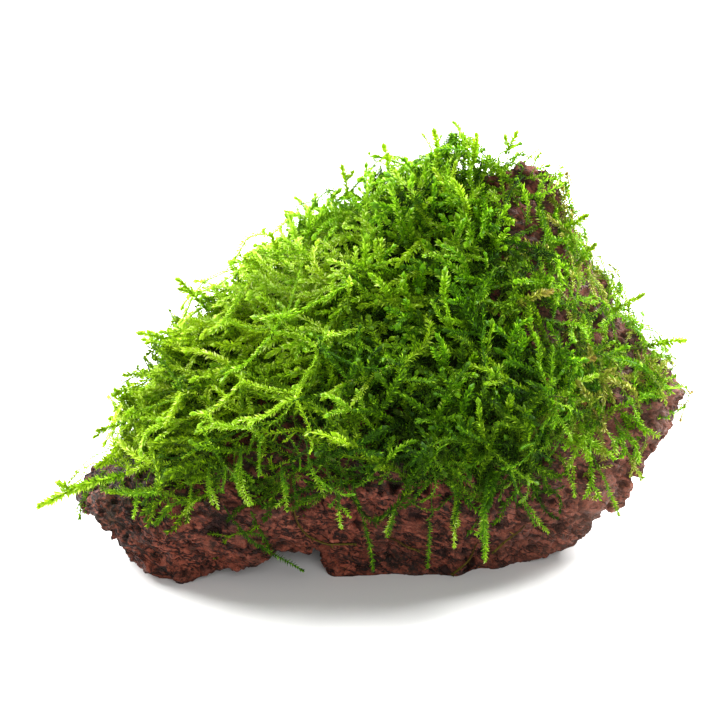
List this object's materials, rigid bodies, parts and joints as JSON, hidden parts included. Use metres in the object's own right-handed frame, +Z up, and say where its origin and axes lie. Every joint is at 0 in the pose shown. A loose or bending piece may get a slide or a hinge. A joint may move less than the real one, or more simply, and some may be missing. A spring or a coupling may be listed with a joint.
{
  "type": "java moss on lava rock",
  "caption": "Wedge of reddish vesicular lava rock with a shaggy cushion of java moss over its crest and brow, feathery fronds standing and hanging from it, and bare creeping stems.",
  "frame": {"origin": "middle of the bounding box, at the flat base that the rock stands on", "axes": "+Z up, +X to the right along the rock's length, -Y towards the front with the drooping moss"},
  "size_m": [0.1548, 0.0888, 0.1],
  "materials": {
    "rock": "matte",
    "moss": "satin",
    "frond": "satin",
    "stem": "satin"
  },
  "bodies": {
    "root": {"lava_rock": "rock", "moss_cushion": "moss", "frond_hanging_01": "frond", "frond_hanging_02": "frond", "frond_hanging_03": "frond", "frond_hanging_04": "frond", "frond_hanging_05": "frond", "frond_hanging_06": "frond", "frond_hanging_07": "frond", "frond_hanging_08": "frond", "frond_hanging_09": "frond", "frond_hanging_10": "frond", "frond_hanging_11": "frond", "frond_hanging_12": "frond", "frond_hanging_13": "frond", "frond_hanging_14": "frond", "frond_hanging_15": "frond", "frond_hanging_16": "frond", "frond_hanging_17": "frond", "frond_standing_01": "frond", "frond_standing_02": "frond", "frond_standing_03": "frond", "frond_standing_04": "frond", "frond_standing_05": "frond", "frond_standing_06": "frond", "frond_standing_07": "frond", "frond_standing_08": "frond", "frond_standing_09": "frond", "frond_standing_10": "frond", "frond_standing_11": "frond", "frond_standing_12": "frond", "frond_standing_13": "frond", "frond_standing_14": "frond", "frond_standing_15": "frond", "frond_standing_16": "frond", "frond_standing_17": "frond", "frond_standing_18": "frond", "frond_standing_19": "frond", "stem_creeping_1": "stem", "stem_creeping_2": "stem", "stem_creeping_3": "stem", "stem_creeping_4": "stem"}
  },
  "joints": []
}
